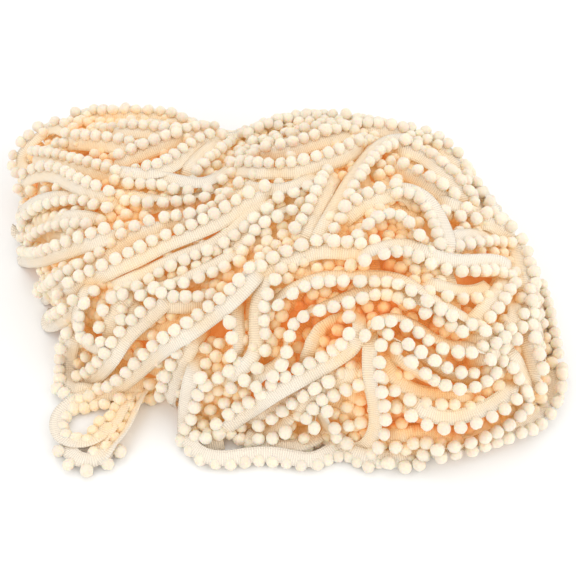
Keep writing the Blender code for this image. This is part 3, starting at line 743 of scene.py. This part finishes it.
FRONT, FLOOR, BACK, DEEP = all_runs()
for run in FRONT + BACK + DEEP:
    low = np.minimum(run.spots(POMPOM_OFF)[:, 2] - POMPOM_RADIUS, run.path[:, 2])
    low = np.minimum(low, np.minimum(run.spots(TAPE_WIDTH / 2)[:, 2], run.spots(-TAPE_WIDTH / 2)[:, 2]))
    run.path[:, 2] += softened(np.maximum(FLOOR_GAP - low, 0), 5)


HOLLOW = 12.0
FILL_APART = 9.0
FILL_SINK = 0.55
FILL_EDGE, FILL_WINDOW = 6, 4


def filling():
    """Pompoms of deeper turns, in the hollows that the laid runs leave."""
    spots = np.zeros((0, 3))
    sight = PHOTO_SIGHT
    grid = sight.grid
    high, wide = GRID_SHAPE
    rows, columns = np.mgrid[FILL_EDGE : high - FILL_EDGE : 2, FILL_EDGE : wide - FILL_EDGE : 2]
    cells = np.stack((rows.ravel(), columns.ravel()), axis=1)
    cells = cells[RNG.permutation(len(cells))]
    for row, column in cells:
        across, up = column + GRID_LEFT, row + GRID_DOWN
        window = np.ix_(*(range(k - FILL_WINDOW, k + FILL_WINDOW + 1) for k in (row, column)))
        nearest = grid[window].min()
        if nearest == NOTHING:
            continue
        way = unit(sight.place(across, up) - sight.eye)
        centre = sight.eye + way * (nearest + POMPOM_RADIUS * FILL_SINK) / (way @ sight.axis)
        top = float(form_height(centre[0], centre[1], HOLLOW))
        if centre[2] > top - 1 or centre[2] < POMPOM_RADIUS:
            continue
        if len(spots) and np.linalg.norm(spots - centre, axis=1).min() < FILL_APART:
            continue
        spots = np.vstack((spots, centre))
    return spots


FILL_SPOTS = filling()


# Pompoms settle between their neighbours
def gathered(runs):
    spots, homes = [], []
    for run in runs:
        if run.bare:
            continue
        stations = run.pompom_stations()
        centres = run.pompom_spots()[stations]
        spots.append(centres)
        homes.append(np.stack((run.along[stations], run.face[stations]), axis=1))
    return np.vstack(spots), np.vstack(homes)


# In pompom radii: how near two centres come, and a centre and a tape
BALLS_APART, TAPE_APART = 1.84, 0.72
# Shares of an overlap that one round takes up
BALL_PUSH, TAPE_PUSH = 0.42, 0.12
PUSH_MOST, STRAY_MOST = 1.6, 3.6
DRAWN_HOME = 0.96
# The lines along a tape that keep pompoms off, in tape widths
TAPE_LINES = (-0.46, -0.15, 0.15, 0.42)


def settled(centres, runs, rounds):
    home = centres.copy()
    tape = []
    for run in runs:
        for wide in TAPE_LINES:
            tape.append(run.spots(TAPE_WIDTH * wide))
    tape = np.vstack(tape)
    tree = kdtree.KDTree(len(tape))
    for i, point in enumerate(tape):
        tree.insert(point, i)
    tree.balance()
    for _ in range(rounds):
        push = np.zeros_like(centres)
        balls = kdtree.KDTree(len(centres))
        for i, point in enumerate(centres):
            balls.insert(point, i)
        balls.balance()
        apart = POMPOM_RADIUS * BALLS_APART
        for i, point in enumerate(centres):
            for other, k, gap in balls.find_range(point, apart):
                if k != i:
                    step = point - np.array(other)
                    push[i] += step / max(gap, 0.5) * (apart - gap) * BALL_PUSH
            for other, k, gap in tree.find_range(point, POMPOM_RADIUS * TAPE_APART):
                step = point - np.array(other)
                push[i] += step / max(gap, 0.3) * (POMPOM_RADIUS * TAPE_APART - gap) * TAPE_PUSH
        push = np.clip(push, -PUSH_MOST, PUSH_MOST)
        centres = centres + push
        away = centres - home
        reach = np.linalg.norm(away, axis=1, keepdims=True)
        centres = home + away * np.minimum(1, STRAY_MOST / np.maximum(reach, 1e-6)) * DRAWN_HOME
        centres[:, 2] = np.maximum(centres[:, 2], POMPOM_RADIUS * 0.98)
    return centres


FRONT_SPOTS, FRONT_WAYS = gathered(FRONT + FLOOR)
BACK_SPOTS, BACK_WAYS = gathered(BACK)
DEEP_SPOTS, DEEP_WAYS = gathered(DEEP)
FRONT_SPOTS = np.vstack((FRONT_SPOTS, FILL_SPOTS))
FRONT_WAYS = np.vstack((FRONT_WAYS, np.tile(np.eye(3)[:2][None], (len(FILL_SPOTS), 1, 1))))
ALL_SPOTS = np.vstack((FRONT_SPOTS, BACK_SPOTS, DEEP_SPOTS))
ALL_SPOTS = settled(ALL_SPOTS, FRONT + FLOOR + BACK + DEEP, 6)
FRONT_SPOTS = ALL_SPOTS[: len(FRONT_SPOTS)]
BACK_SPOTS = ALL_SPOTS[len(FRONT_SPOTS) : len(FRONT_SPOTS) + len(BACK_SPOTS)]
DEEP_SPOTS = ALL_SPOTS[len(FRONT_SPOTS) + len(BACK_SPOTS) :]


# How deep each point lies in the heap
HUB = np.array((-15.0, 20.0, -90.0))
HUB_SPAN, HUB_STEP = 1.6, 0.026
HUB_CELLS = int(2 * HUB_SPAN / HUB_STEP) + 1
FULL_DEPTH = 22.0


def hub_place(points):
    away = points - HUB
    reach = np.linalg.norm(away, axis=-1)
    scale = 2 / (reach + away[..., 2])
    column = np.clip((away[..., 0] * scale + HUB_SPAN) / HUB_STEP, 0, HUB_CELLS - 1).astype(int)
    row = np.clip((away[..., 1] * scale + HUB_SPAN) / HUB_STEP, 0, HUB_CELLS - 1).astype(int)
    return row, column, reach


def with_neighbours(grid):
    return np.stack([np.roll(grid, (r, c), axis=(0, 1)) for r in (-1, 0, 1) for c in (-1, 0, 1)])


def outer_reach():
    grid = np.zeros((HUB_CELLS, HUB_CELLS))
    row, column, reach = hub_place(ALL_SPOTS)
    np.maximum.at(grid, (row, column), reach + POMPOM_RADIUS * 0.8)
    for run in FRONT + FLOOR + BACK:
        row, column, reach = hub_place(run.path)
        np.maximum.at(grid, (row, column), reach)
    for _ in range(2):
        near = with_neighbours(grid)
        grid = np.maximum(grid, np.where(near > 0, near, 0).max(axis=0) - 2.0)
    for _ in range(3):
        near = with_neighbours(grid)
        grid = near.mean(axis=0)
    return grid


OUTER = outer_reach()


def depth_of(points):
    row, column, reach = hub_place(points)
    deep = np.clip((OUTER[row, column] - reach) / FULL_DEPTH, 0, 1)
    # Painted light: the painted shade and glow ease off near the floor, standing in for light from the floor
    # The slots nearest the floor are paler, as in the photograph
    return deep * np.clip((points[:, 2] + 6) / FULL_DEPTH, 0.35, 1)


# Meshes
def icosphere(times):
    g = (1 + 5**0.5) / 2
    verts = [(-1, g, 0), (1, g, 0), (-1, -g, 0), (1, -g, 0), (0, -1, g), (0, 1, g), (0, -1, -g), (0, 1, -g),
             (g, 0, -1), (g, 0, 1), (-g, 0, -1), (-g, 0, 1)]
    faces = [(0, 11, 5), (0, 5, 1), (0, 1, 7), (0, 7, 10), (0, 10, 11), (1, 5, 9), (5, 11, 4), (11, 10, 2),
             (10, 7, 6), (7, 1, 8), (3, 9, 4), (3, 4, 2), (3, 2, 6), (3, 6, 8), (3, 8, 9), (4, 9, 5),
             (2, 4, 11), (6, 2, 10), (8, 6, 7), (9, 8, 1)]
    verts = [np.array(v) / np.linalg.norm(v) for v in verts]
    for _ in range(times):
        middle, fresh = {}, []
        for a, b, c in faces:
            ends = []
            for one, two in ((a, b), (b, c), (c, a)):
                key = (min(one, two), max(one, two))
                if key not in middle:
                    middle[key] = len(verts)
                    point = verts[one] + verts[two]
                    verts.append(point / np.linalg.norm(point))
                ends.append(middle[key])
            fresh += [(a, ends[0], ends[2]), (b, ends[1], ends[0]), (c, ends[2], ends[1]), tuple(ends)]
        faces = fresh
    return np.array(verts), np.array(faces)


def mesh_piece(name, verts, faces, values, material):
    mesh = bpy.data.meshes.new(name)
    sides = faces.shape[1]
    mesh.vertices.add(len(verts))
    mesh.vertices.foreach_set("co", ((verts - HEAP_CENTRE) * MM).astype(np.float32).ravel())
    mesh.loops.add(faces.size)
    mesh.loops.foreach_set("vertex_index", faces.astype(np.int32).ravel())
    mesh.polygons.add(len(faces))
    mesh.polygons.foreach_set("loop_start", np.arange(0, faces.size, sides, dtype=np.int32))
    mesh.polygons.foreach_set("loop_total", np.full(len(faces), sides, dtype=np.int32))
    mesh.polygons.foreach_set("use_smooth", np.ones(len(faces), dtype=bool))
    mesh.update(calc_edges=True)
    for key, rows in values.items():
        layer = mesh.attributes.new(key, "FLOAT", "POINT")
        layer.data.foreach_set("value", rows.astype(np.float32))
    mesh.materials.append(material)
    thing = bpy.data.objects.new(name, mesh)
    bpy.context.scene.collection.objects.link(thing)
    return thing


# A pompom's width along its row and its height off the tape, as shares of its roundness
PRESSED_ALONG, PRESSED_HIGH = 1.03, 0.93
LUMP_TONES = (2.3, 4.1, 7.5)
LUMP, ROUGH = 0.034, 0.019


def pompom_piece(name, centres, ways, times, material):
    """Yarn balls, each a little wider along its row than it is high."""
    ball, faces = icosphere(times)
    count = len(centres)
    spin = RNG.normal(size=(count, 4))
    spin /= np.linalg.norm(spin, axis=1)[:, None]
    w, x, y, z = spin.T
    turn = np.array([[1 - 2 * (y * y + z * z), 2 * (x * y - z * w), 2 * (x * z + y * w)],
                     [2 * (x * y + z * w), 1 - 2 * (x * x + z * z), 2 * (y * z - x * w)],
                     [2 * (x * z - y * w), 2 * (y * z + x * w), 1 - 2 * (x * x + y * y)]]).transpose(2, 0, 1)
    squash = RNG.uniform(0.93, 1.05, (count, 1, 3)) * RNG.uniform(0.94, 1.05, (count, 1, 1))
    lumps = np.zeros((count, len(ball)))
    for tone in LUMP_TONES:
        way = RNG.normal(size=(count, 3))
        way /= np.linalg.norm(way, axis=1)[:, None]
        lumps += np.sin(ball @ way.T * tone + RNG.uniform(0, FULL_TURN, count)).T * LUMP
    lumps += RNG.normal(0, ROUGH, lumps.shape)
    points = ball[None] * (1 + lumps[..., None]) * squash * POMPOM_RADIUS
    points = np.einsum("nij,nkj->nki", turn, points)
    for way, share in ((ways[:, 0], PRESSED_ALONG), (ways[:, 1], PRESSED_HIGH)):
        part = np.einsum("nki,ni->nk", points, way)
        points += part[..., None] * way[:, None] * (share - 1)
    verts = (points + centres[:, None]).reshape(-1, 3)
    rows = (faces[None] + (np.arange(count) * len(ball))[:, None, None]).reshape(-1, 3)
    tone = np.repeat(RNG.uniform(0, 1, count), len(ball))
    values = {"depth": depth_of(verts), "tone": tone}
    verts[:, 2] = np.maximum(verts[:, 2], MESH_FLOOR)
    return mesh_piece(name, verts, rows, values, material)


ACROSS = (-0.5, -0.22, 0.12, 0.5)
CURL = (-0.5, 0.9)
RIPPLE = 0.35
SELVEDGE_THIN = 0.55
RUN_GAP = 3


def tape_piece(name, runs, material, plain=False):
    """Runs of tape as one mesh, and their length in mm."""
    verts, faces, along, across = [], [], [], []
    base, total = 0, 0.0
    parts = (-0.5, 0.5) if plain else ACROSS
    for run in runs:
        marks = marks_along(run.path)
        curl = RNG.uniform(*CURL)
        ripple = RIPPLE * np.sin(marks / PITCH * 2 * math.pi)
        rings = []
        for face_side, order in ((1, parts), (-1, parts[::-1])):
            for part in order:
                out = part * TAPE_WIDTH + (ripple if part > 0.4 else 0)
                thin = SELVEDGE_THIN if abs(part) == 0.5 else 1.0
                lift = curl * (2 * part) ** 2 + face_side * TAPE_THICK / 2 * thin
                out = np.broadcast_to(out, len(marks))
                rings.append(run.path + run.wide * out[:, None] + run.face * lift)
        rings = np.stack(rings, axis=1)
        count, around = rings.shape[:2]
        verts.append(rings.reshape(-1, 3))
        along.append(np.repeat(marks + total, around))
        across.append(np.tile([p + 0.5 for p in parts] + [p + 0.5 for p in parts[::-1]], count))
        i = np.arange(count - 1)[:, None] * around
        k = np.arange(around)[None]
        next_k = (k + 1) % around
        quads = np.stack((i + k, i + around + k, i + around + next_k, i + next_k), axis=-1).reshape(-1, 4)
        if run.side == "R":
            quads = quads[:, ::-1]
        faces.append(quads + base)
        last = (count - 1) * around
        caps = []
        for start, flip in ((0, False), (last, True)):
            for j in range(len(parts) - 1):
                quad = [start + j, start + j + 1, start + around - 2 - j, start + around - 1 - j]
                caps.append(quad[::-1] if flip else quad)
        caps = np.array(caps)
        if run.side == "R":
            caps = caps[:, ::-1]
        faces.append(caps + base)
        base += count * around
        total += marks[-1] + RUN_GAP
    verts = np.vstack(verts)
    values = {"depth": depth_of(verts), "along": np.concatenate(along), "across": np.concatenate(across)}
    verts[:, 2] = np.maximum(verts[:, 2], MESH_FLOOR)
    piece = mesh_piece(name, verts, np.vstack(faces), values, material)
    return piece, sum(run.length for run in runs)


MOUND_INSET = 20.0
MOUND_COLUMNS, MOUND_ROWS = 90, 80
MOUND_LUMP = 1.6
MOUND_EDGE, MOUND_FOOT = 1.0, 0.4


def mound_piece(name, material):
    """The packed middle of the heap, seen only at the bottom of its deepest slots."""
    columns, rows = MOUND_COLUMNS, MOUND_ROWS
    xs = np.linspace(FORM[0, 0] + MOUND_INSET, FORM[-1, 0] - MOUND_INSET, columns)
    bend = np.linspace(-1, 1, rows)
    parts = np.sign(bend) * (1 - (1 - np.abs(bend)) ** 1.6)
    at = FORM[:, 0] * (1 - MOUND_INSET / FORM_REACH)
    front = np.interp(xs, at, FORM[:, 1] + MOUND_INSET)[:, None]
    back = np.interp(xs, at, FORM[:, 2] - MOUND_INSET)[:, None]
    y = (front + back) / 2 + (back - front) / 2 * parts[None]
    x = np.repeat(xs[:, None], rows, axis=1)
    z = form_height(x, y, MOUND_INSET)
    lumps = np.sin(x / 3.4 + 2 * np.sin(y / 17)) * np.sin(y / 3.1 + 1.5 * np.sin(x / 21))
    z = np.maximum(z + MOUND_LUMP * lumps, MOUND_EDGE)
    z[0], z[-1], z[:, 0], z[:, -1] = (MOUND_EDGE,) * 4
    top = np.stack((x, y, z), axis=-1).reshape(-1, 3)
    low = top.copy()
    low[:, 2] = MOUND_FOOT
    count = len(top)
    i = (np.arange(columns - 1)[:, None] * rows + np.arange(rows - 1)[None]).ravel()
    upper = np.stack((i, i + rows, i + rows + 1, i + 1), axis=-1)
    lower = np.stack((i, i + 1, i + rows + 1, i + rows), axis=-1) + count
    ring = np.concatenate((np.arange(rows), np.arange(1, columns) * rows + rows - 1,
                           np.arange(rows - 2, -1, -1) + (columns - 1) * rows,
                           np.arange(columns - 2, 0, -1) * rows))
    after = np.roll(ring, -1)
    wall = np.stack((ring, after, after + count, ring + count), axis=-1)
    verts = np.vstack((top, low))
    # Painted shade: the packed middle takes the deep painted shade colours and glow all over
    values = {"depth": np.maximum(depth_of(verts), 0.8), "tone": np.full(len(verts), 0.5)}
    return mesh_piece(name, verts, np.vstack((upper, lower, wall)), values, material)


# Materials
# Painted glow in the slots: how strong, what colour, and over which depths it grows
PAINTED_GLOW = 0.20
PAINTED_GLOW_COLOUR = (1.0, 0.50, 0.10, 1)
PAINTED_GLOW_DEPTHS = (0.12, 0.85)
# Outside, just inside, in the slots and at their bottom: the own cream outside, then warmer and red-brown
# painted shade deeper in the slots
PAINTED_SHADE_DEPTHS = (0.12, 0.42, 0.76, 0.95)
YARN_COLOURS_AND_PAINTED_SHADE = ((0.87, 0.785, 0.65, 1), (0.89, 0.735, 0.52, 1), (0.90, 0.62, 0.35, 1), (0.76, 0.21, 0.05, 1))
TAPE_COLOURS_AND_PAINTED_SHADE = ((0.925, 0.83, 0.70, 1), (0.93, 0.78, 0.57, 1), (0.93, 0.66, 0.38, 1), (0.78, 0.23, 0.055, 1))
YARN_TONES = (0.95, 1.03)
# Painted shade in the grooves between the tape's ribs, and painted light on their crests
RIB_PAINTED_SHADE_AND_LIGHT = (0.865, 1.04)
YARN_BUMP, RIB_BUMP = 0.0008, 0.0005
WARP_ENDS, WARP_SHARE = 7, 0.18


def set_inputs(node, **values):
    for name, value in values.items():
        node.inputs[name.replace("_", " ")].default_value = value


def linked(tree, kind, inputs=(), **settings):
    node = tree.nodes.new(kind)
    for key, value in settings.items():
        setattr(node, key, value)
    for where, value in inputs:
        if hasattr(value, "node"):
            tree.links.new(value, node.inputs[where])
        else:
            node.inputs[where].default_value = value
    return node


def stored(tree, name):
    return linked(tree, "ShaderNodeAttribute", attribute_name=name).outputs["Fac"]


def mapped(tree, value, to, since=(0.0, 1.0)):
    spans = (("From Min", since[0]), ("From Max", since[1]), ("To Min", to[0]), ("To Max", to[1]))
    return linked(tree, "ShaderNodeMapRange", (("Value", value), *spans)).outputs["Result"]


def reckoned(tree, operation, *values):
    return linked(tree, "ShaderNodeMath", enumerate(values), operation=operation).outputs[0]


def toned(tree, value, colour):
    return linked(tree, "ShaderNodeHueSaturation", (("Value", value), ("Color", colour))).outputs["Color"]


def bumped(tree, height, distance):
    inputs = (("Strength", 0.7), ("Distance", distance), ("Height", height))
    return linked(tree, "ShaderNodeBump", inputs).outputs["Normal"]


def new_material(name):
    material = bpy.data.materials.new(name)
    material.use_nodes = True
    return material, material.node_tree, material.node_tree.nodes["Principled BSDF"]


def painted_crevice_glow(tree, shader):
    """Painted glow: an emission that grows with depth in the heap, standing in for warm light bounced between
    the turns around it.
    """
    painted_glow = mapped(tree, stored(tree, "depth"), (0.0, PAINTED_GLOW), PAINTED_GLOW_DEPTHS)
    set_inputs(shader, Emission_Color=PAINTED_GLOW_COLOUR)
    tree.links.new(painted_glow, shader.inputs["Emission Strength"])


def colour_with_painted_shade(tree, colours):
    """Cream outside, then painted shade with depth in the heap, warmer and then red-brown."""
    depth = stored(tree, "depth")
    ramp = tree.nodes.new("ShaderNodeValToRGB")
    elements = ramp.color_ramp.elements
    for element, k in ((elements[0], 0), (elements[1], 3)):
        element.position = PAINTED_SHADE_DEPTHS[k]
        element.color = colours[k]
    for k in (1, 2):
        elements.new(PAINTED_SHADE_DEPTHS[k]).color = colours[k]
    tree.links.new(depth, ramp.inputs["Fac"])
    return ramp.outputs["Color"]


def pompom_material():
    material, tree, shader = new_material("pompom_yarn")
    colour = colour_with_painted_shade(tree, YARN_COLOURS_AND_PAINTED_SHADE)
    painted_crevice_glow(tree, shader)
    tone = mapped(tree, stored(tree, "tone"), YARN_TONES)
    tree.links.new(toned(tree, tone, colour), shader.inputs["Base Color"])
    set_inputs(shader, Roughness=0.95, Sheen_Weight=0.7, Sheen_Roughness=0.5, Sheen_Tint=(1.0, 0.92, 0.8, 1))
    set_inputs(shader, Subsurface_Weight=0.6, Subsurface_Radius=(1.0, 0.6, 0.35), Subsurface_Scale=0.003)
    where = linked(tree, "ShaderNodeTexCoord").outputs["Object"]
    inputs = (("Vector", where), ("Scale", 900.0), ("Detail", 2.0), ("Roughness", 0.65))
    fuzz = linked(tree, "ShaderNodeTexNoise", inputs).outputs["Fac"]
    tree.links.new(bumped(tree, fuzz, YARN_BUMP), shader.inputs["Normal"])
    return material


def tape_material():
    """Ribs across the tape, with faint warp ends between them, and painted shade in the grooves between the
    ribs with painted light on their crests.
    """
    material, tree, shader = new_material("woven_tape")
    colour = colour_with_painted_shade(tree, TAPE_COLOURS_AND_PAINTED_SHADE)
    painted_crevice_glow(tree, shader)
    turns = reckoned(tree, "MULTIPLY", stored(tree, "along"), 2 * math.pi / RIB_PITCH)
    rib = mapped(tree, reckoned(tree, "SINE", turns), (0.0, 1.0), (-1.0, 1.0))
    ends = reckoned(tree, "MULTIPLY", stored(tree, "across"), 2 * math.pi * WARP_ENDS)
    warp = reckoned(tree, "MULTIPLY", reckoned(tree, "SINE", ends), WARP_SHARE)
    both = reckoned(tree, "ADD", rib, warp)
    tree.links.new(bumped(tree, both, RIB_BUMP), shader.inputs["Normal"])
    # Painted shade and light: the colour darkens in the rib grooves and lightens on the crests, in step with
    # the bump
    tone = mapped(tree, rib, RIB_PAINTED_SHADE_AND_LIGHT)
    tree.links.new(toned(tree, tone, colour), shader.inputs["Base Color"])
    set_inputs(shader, Roughness=0.85, Sheen_Weight=0.2)
    return material


POMPOM_LOOK = pompom_material()
TAPE_LOOK = tape_material()


# Camera, floor and lights
FLOOR_COLOUR = (0.93, 0.93, 0.93, 1)
WORLD_STRENGTH = 0.88
# Name, place in metres, size in metres, watts
LIGHTS = (
    ("key", (-0.35, 0.45, 1.25), 0.9, 2.8),
    ("fill", (1.05, -0.45, 0.7), 1.4, 6.0),
    ("front", (-0.75, -1.0, 0.7), 1.4, 4.6),
)


def made_camera():
    data = bpy.data.cameras.new("camera")
    data.lens = SENSOR_WIDTH * SIGHT_REACH / SIGHT_WIDTH
    data.sensor_width = SENSOR_WIDTH
    data.clip_start, data.clip_end = 0.01, 20
    camera = bpy.data.objects.new("camera", data)
    bpy.context.scene.collection.objects.link(camera)
    camera.location = Vector((EYE - HEAP_CENTRE) * MM)
    aim = Vector((-HEAP_CENTRE) * MM) - camera.location
    camera.rotation_mode = "QUATERNION"
    camera.rotation_quaternion = aim.to_track_quat("-Z", "Y")
    bpy.context.scene.camera = camera


made_camera()


def floor_and_lights():
    bpy.ops.mesh.primitive_plane_add(size=12, location=(0, 0, -0.0002))
    floor = bpy.context.object
    floor.name = "floor"
    look, _, shader = new_material("floor")
    set_inputs(shader, Base_Color=FLOOR_COLOUR, Roughness=1.0, Specular_IOR_Level=0.0)
    floor.data.materials.append(look)
    floor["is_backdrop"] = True
    world = bpy.data.worlds.new("studio")
    world.use_nodes = True
    set_inputs(world.node_tree.nodes["Background"], Color=(1.0, 0.99, 0.97, 1), Strength=WORLD_STRENGTH)
    bpy.context.scene.world = world
    bpy.context.scene.view_settings.view_transform = "Standard"
    for name, place, size, power in LIGHTS:
        data = bpy.data.lights.new(name, "AREA")
        data.size, data.energy = size, power
        light = bpy.data.objects.new(name, data)
        bpy.context.scene.collection.objects.link(light)
        light.location = place
        light.rotation_mode = "QUATERNION"
        light.rotation_quaternion = (-Vector(place)).to_track_quat("-Z", "Y")
        light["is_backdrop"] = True


floor_and_lights()


# The pieces
NODES = sorted(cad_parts)
TAPE_NODES = [n for n in NODES if n.startswith("tape_")]
POMPOM_NODES = [n for n in NODES if n.startswith("pompoms_")]
BACK_TAPES = [n for n in TAPE_NODES if "_back_" in n]
FLOOR_TAPES = [n for n in TAPE_NODES if "_floor_" in n]


def dressed(piece, nodes):
    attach(piece, "root")
    if nodes:
        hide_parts(*nodes)


def pompom_nodes(back, first, last):
    """The CAD's pompom rows whose middle lies between two places across the heap, in mm."""
    found = []
    for node in POMPOM_NODES:
        low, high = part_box(node)
        middle = (low[0] + high[0]) / 2 / MM + HEAP_CENTRE[0]
        if ("_back_" in node) == back and first <= middle < last:
            found.append(node)
    return found


def between(centres, ways, first, last):
    kept = (centres[:, 0] >= first) & (centres[:, 0] < last)
    return centres[kept], ways[kept]


FINE, PLAIN = 2, 1
LEFT_END, FIRST_CUT, SECOND_CUT, RIGHT_END = -300, -85, 45, 300
PARTS = (
    ("pompoms_front_left", FRONT_SPOTS, FRONT_WAYS, LEFT_END, FIRST_CUT, FINE, False),
    ("pompoms_front_middle", FRONT_SPOTS, FRONT_WAYS, FIRST_CUT, SECOND_CUT, FINE, False),
    ("pompoms_front_right", FRONT_SPOTS, FRONT_WAYS, SECOND_CUT, RIGHT_END, FINE, False),
    ("pompoms_back_left", BACK_SPOTS, BACK_WAYS, LEFT_END, 0, FINE, True),
    ("pompoms_back_right", BACK_SPOTS, BACK_WAYS, 0, RIGHT_END, FINE, True),
    ("pompoms_inside", DEEP_SPOTS, DEEP_WAYS, LEFT_END, RIGHT_END, PLAIN, None),
)
for name, centres, ways, first, last, times, back in PARTS:
    centres, ways = between(centres, ways, first, last)
    nodes = [] if back is None else pompom_nodes(back, first, last)
    dressed(pompom_piece(name + "_yarn", centres, ways, times, POMPOM_LOOK), nodes)

FRONT_TAPES = [n for n in TAPE_NODES if n not in BACK_TAPES + FLOOR_TAPES]
FRONT_FRINGE = ["pompoms_front_left_yarn", "pompoms_front_middle_yarn", "pompoms_front_right_yarn"]
BACK_FRINGE = ["pompoms_back_left_yarn", "pompoms_back_right_yarn"]
for name, runs, nodes, fringe in (
    ("tape_front_woven", FRONT, FRONT_TAPES, FRONT_FRINGE),
    ("tape_floor_woven", FLOOR, FLOOR_TAPES, []),
    ("tape_back_woven", BACK, BACK_TAPES, BACK_FRINGE),
    ("tape_inside_woven", DEEP, [], ["pompoms_inside_yarn"]),
):
    piece, length = tape_piece(name, runs, TAPE_LOOK, runs is DEEP)
    dressed(piece, nodes)
    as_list(fringe)

dressed(mound_piece("heap_middle_packed", POMPOM_LOOK), ["heap_core"])

low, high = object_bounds()
